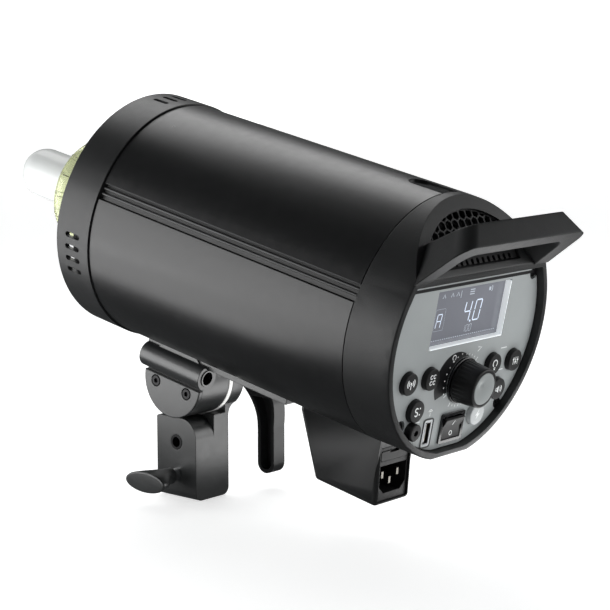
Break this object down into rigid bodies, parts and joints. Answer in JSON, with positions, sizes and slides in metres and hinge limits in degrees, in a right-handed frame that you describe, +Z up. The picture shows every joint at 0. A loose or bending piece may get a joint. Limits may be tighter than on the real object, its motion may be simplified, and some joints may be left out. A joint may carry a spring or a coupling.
{
  "type": "monolight strobe",
  "caption": "Cylindrical studio flash head with a ring flash tube and modelling lamp in front, a rear control panel, a carry handle and a tilting bracket for a light stand.",
  "frame": {"origin": "mouth of the stand socket in the bracket's foot, on the socket's axis", "axes": "+Z up along the stand spigot, -Y towards the light output, +X towards the clamp wing (the operator's left)"},
  "size_m": [0.146, 0.396, 0.2492],
  "materials": {
    "housing_paint": "satin black",
    "black_plastic": "fine texture",
    "button_black": "satin",
    "bracket_paint": "satin dark grey",
    "gloss_black": "gloss",
    "panel_grey": "satin",
    "screen": "gloss",
    "steel": "machined",
    "black_steel": "black oxide",
    "chrome": "polished",
    "brass": "machined",
    "aluminium": "rolled",
    "ceramic": "ceramic, unglazed",
    "frosted_glass": "frosted",
    "clear_glass": "clear",
    "circuit_board": "solder mask",
    "capacitor_sleeve": "shrink sleeve"
  },
  "bodies": {
    "stand": {"stand_block": "bracket_paint", "thread_insert": "brass"},
    "head": {"body_upper_shell": "housing_paint", "body_lower_shell": "housing_paint", "front_ring": "black_plastic", "rear_cover": "black_plastic", "carry_handle": "black_plastic", "inlet_housing": "black_plastic", "vent_grille": "black_plastic", "mount_carrier": "black_plastic", "iec_inlet": "black_plastic", "power_switch_body": "black_plastic", "dial_collar": "black_plastic", "sync_jack": "black_plastic", "fan_frame": "black_plastic", "left_side_rail": "black_plastic", "right_side_rail": "black_plastic", "tilt_bracket": "bracket_paint", "side_plate": "bracket_paint", "sensor_window": "gloss_black", "umbrella_sleeve": "gloss_black", "control_panel": "panel_grey", "lcd_module": "screen", "mount_flange": "steel", "mount_screws": "steel", "dial_encoder": "steel", "usb_port": "steel", "inner_chassis": "steel", "axle_bolt": "steel", "reflector_plate": "steel", "side_plate_screws": "black_steel", "panel_screws": "black_steel", "friction_disc": "chrome", "inlet_pins": "brass", "lamp_cap": "aluminium", "lamp_socket": "ceramic", "tube_socket": "ceramic", "modelling_lamp": "frosted_glass", "flash_tube": "clear_glass", "display_board": "circuit_board", "power_board": "circuit_board", "capacitor_bank": "capacitor_sleeve"},
    "lever": {"tilt_lever": "bracket_paint"},
    "pad": {"clamp_pad": "brass"},
    "wing": {"clamp_screw": "chrome", "clamp_wing": "black_plastic"},
    "dial": {"dial_knob": "black_plastic", "dial_cap": "panel_grey", "dial_shaft": "steel"},
    "fan": {"fan_rotor": "black_plastic"},
    "rocker": {"power_rocker": "black_plastic"},
    "catch": {"release_catch": "black_plastic"},
    "fuse": {"fuse_drawer": "black_plastic"},
    "wireless_key": {"wireless_button": "button_black"},
    "group_key": {"group_button": "button_black"},
    "mode_key": {"mode_button": "button_black"},
    "lamp_key": {"lamp_button": "button_black"},
    "function_key": {"function_button": "button_black"},
    "buzzer_key": {"buzzer_button": "button_black"},
    "test_key": {"test_button": "panel_grey"}
  },
  "joints": [
    {"name": "head_tilt", "type": "hinge", "parent": "stand", "child": "head", "pos_m": [0, 0, 0.075], "axis": [1, 0, 0], "range_deg": [-38, 61]},
    {"name": "lever_turn", "type": "hinge", "parent": "stand", "child": "lever", "pos_m": [0, 0, 0.075], "axis": [1, 0, 0], "range_deg": [-35, 30]},
    {"name": "pad_slide", "type": "slide", "parent": "stand", "child": "pad", "axis": [-1, 0, 0], "range_m": [-0.00126, 0.00076]},
    {"name": "wing_turn", "type": "hinge", "parent": "pad", "child": "wing", "pos_m": [0.03, 0, 0.015], "axis": [-1, 0, 0], "range_deg": [-360, 216]},
    {"name": "dial_turn", "type": "hinge", "parent": "head", "child": "dial", "pos_m": [-0.005, 0.21086, 0.09537], "axis": [0, 0.9787, -0.2052], "continuous": true},
    {"name": "fan_spin", "type": "hinge", "parent": "head", "child": "fan", "pos_m": [0, 0.18398, 0.1572], "axis": [0, 0.9787, -0.2052], "continuous": true},
    {"name": "rocker_turn", "type": "hinge", "parent": "head", "child": "rocker", "pos_m": [-0.00245, 0.19609, 0.07068], "axis": [1, 0, 0], "range_deg": [0, 20]},
    {"name": "catch_slide", "type": "slide", "parent": "head", "child": "catch", "axis": [0, 0.9787, -0.2052], "range_m": [0, 0.006], "stiffness_N_per_m": 300, "springref_m": -0.002},
    {"name": "fuse_slide", "type": "slide", "parent": "head", "child": "fuse", "axis": [0, 0.9961, -0.0879], "range_m": [0, 0.015]},
    {"name": "wireless_press", "type": "slide", "parent": "head", "child": "wireless_key", "axis": [0, -0.9787, 0.2052], "range_m": [0, 0.0008], "stiffness_N_per_m": 500, "springref_m": -0.0006},
    {"name": "group_press", "type": "slide", "parent": "head", "child": "group_key", "axis": [0, -0.9787, 0.2052], "range_m": [0, 0.0008], "stiffness_N_per_m": 500, "springref_m": -0.0006},
    {"name": "mode_press", "type": "slide", "parent": "head", "child": "mode_key", "axis": [0, -0.9787, 0.2052], "range_m": [0, 0.0008], "stiffness_N_per_m": 500, "springref_m": -0.0006},
    {"name": "lamp_press", "type": "slide", "parent": "head", "child": "lamp_key", "axis": [0, -0.9787, 0.2052], "range_m": [0, 0.0008], "stiffness_N_per_m": 500, "springref_m": -0.0006},
    {"name": "function_press", "type": "slide", "parent": "head", "child": "function_key", "axis": [0, -0.9787, 0.2052], "range_m": [0, 0.0008], "stiffness_N_per_m": 500, "springref_m": -0.0006},
    {"name": "buzzer_press", "type": "slide", "parent": "head", "child": "buzzer_key", "axis": [0, -0.9787, 0.2052], "range_m": [0, 0.0008], "stiffness_N_per_m": 500, "springref_m": -0.0006},
    {"name": "test_press", "type": "slide", "parent": "head", "child": "test_key", "axis": [0, -0.9787, 0.2052], "range_m": [0, 0.0008], "stiffness_N_per_m": 500, "springref_m": -0.0006}
  ],
  "couplings": [
    {"joint": "pad_slide", "follows": "wing_turn", "m_per_rad": 0.00019894}
  ]
}
